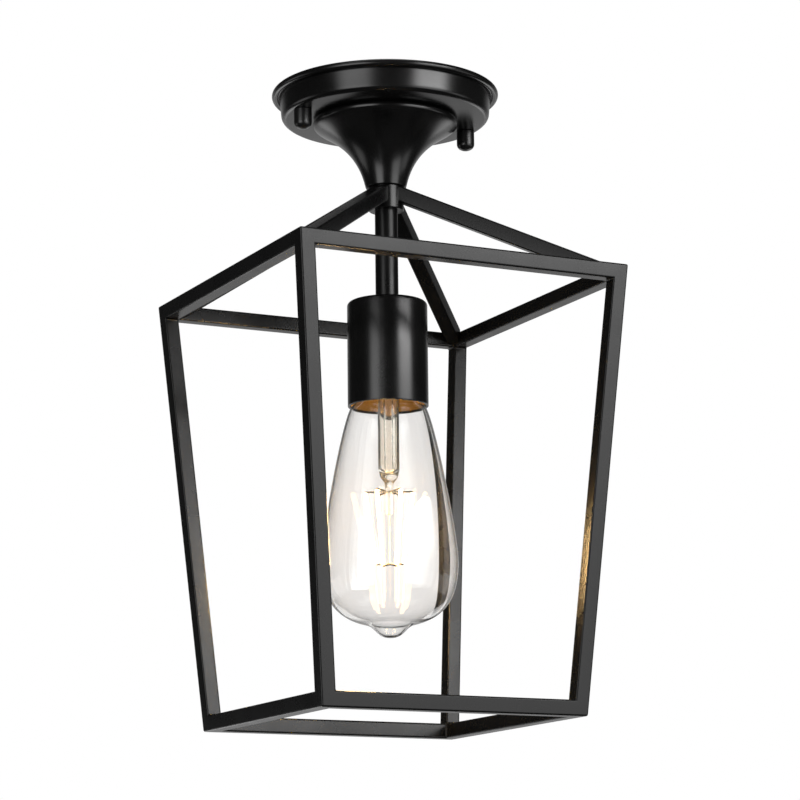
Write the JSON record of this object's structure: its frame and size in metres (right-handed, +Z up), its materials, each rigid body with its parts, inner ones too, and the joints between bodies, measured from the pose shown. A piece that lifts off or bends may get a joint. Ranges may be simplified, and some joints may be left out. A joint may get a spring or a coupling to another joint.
{
  "type": "porch ceiling lantern",
  "caption": "Semi-flush porch lantern: tapered open cage of square tube on a short downrod under a round canopy, with a screw-base filament lamp that unscrews from a socket sleeve.",
  "frame": {"origin": "where the rod's axis meets the ceiling, on the ceiling plate's top face", "axes": "+Z up into the ceiling along the rod's axis; +X towards the right-hand canopy nut, so each side of the cage faces an axis"},
  "size_m": [0.184, 0.184, 0.334],
  "materials": {
    "black_enamel": "satin",
    "black_nut": "satin",
    "zinc_steel": "satin",
    "green_screw": "satin",
    "brass": "satin",
    "white_ceramic": "gloss",
    "nickel_brass": "polished",
    "black_vitrite": "gloss",
    "circuit_board": "satin",
    "clear_glass": "polished",
    "bright_wire": "polished",
    "filament_phosphor": "matte"
  },
  "bodies": {
    "lantern": {"ceiling_plate": "zinc_steel", "ground_screw": "green_screw", "canopy_studs": "zinc_steel", "stud_lock_nuts": "zinc_steel", "canopy_pan": "black_enamel", "trumpet_neck": "black_enamel", "rod_star_washer": "zinc_steel", "rod_top_nut": "brass", "threaded_rod": "zinc_steel", "hub_collar": "black_enamel", "hip_bar_right": "black_enamel", "hip_bar_back": "black_enamel", "hip_bar_left": "black_enamel", "hip_bar_front": "black_enamel", "top_rail_front_right": "black_enamel", "top_rail_back_right": "black_enamel", "top_rail_back_left": "black_enamel", "top_rail_front_left": "black_enamel", "upright_right": "black_enamel", "upright_back": "black_enamel", "upright_left": "black_enamel", "upright_front": "black_enamel", "bottom_rail_front_right": "black_enamel", "bottom_rail_back_right": "black_enamel", "bottom_rail_back_left": "black_enamel", "bottom_rail_front_left": "black_enamel", "downrod_tube": "black_enamel", "socket_sleeve": "black_enamel", "sleeve_washer": "zinc_steel", "rod_bottom_nut": "brass", "holder_bracket": "zinc_steel", "bracket_screws": "zinc_steel", "holder_body": "white_ceramic", "terminal_screws": "brass", "holder_shell": "brass", "contact_tongue": "brass", "contact_rivet": "brass"},
    "lamp_foot": {"lamp_foot_contact": "nickel_brass"},
    "lamp": {"lamp_cap": "nickel_brass", "cap_insulator": "black_vitrite", "led_driver": "circuit_board", "lamp_glass": "clear_glass", "glass_stem": "clear_glass", "lead_in_wires": "bright_wire", "filament_frame": "bright_wire", "led_filaments": "filament_phosphor"},
    "cap_nut_left": {"cap_nut_left": "black_nut"},
    "cap_nut_right": {"cap_nut_right": "black_nut"}
  },
  "joints": [
    {"name": "lamp_feed", "type": "slide", "parent": "lantern", "child": "lamp_foot", "axis": [0, 0, -1], "range_m": [0, 0.01815]},
    {"name": "lamp_turn", "type": "hinge", "parent": "lamp_foot", "child": "lamp", "pos_m": [0, 0, -0.14], "axis": [0, 0, -1], "range_deg": [0, 1800]},
    {"name": "cap_nut_left_travel", "type": "slide", "parent": "lantern", "child": "cap_nut_left", "axis": [0, 0, -1], "range_m": [0, 0.006]},
    {"name": "cap_nut_right_travel", "type": "slide", "parent": "lantern", "child": "cap_nut_right", "axis": [0, 0, -1], "range_m": [0, 0.006]}
  ],
  "couplings": [
    {"joint": "lamp_feed", "follows": "lamp_turn", "m_per_rad": 0.0005775}
  ]
}
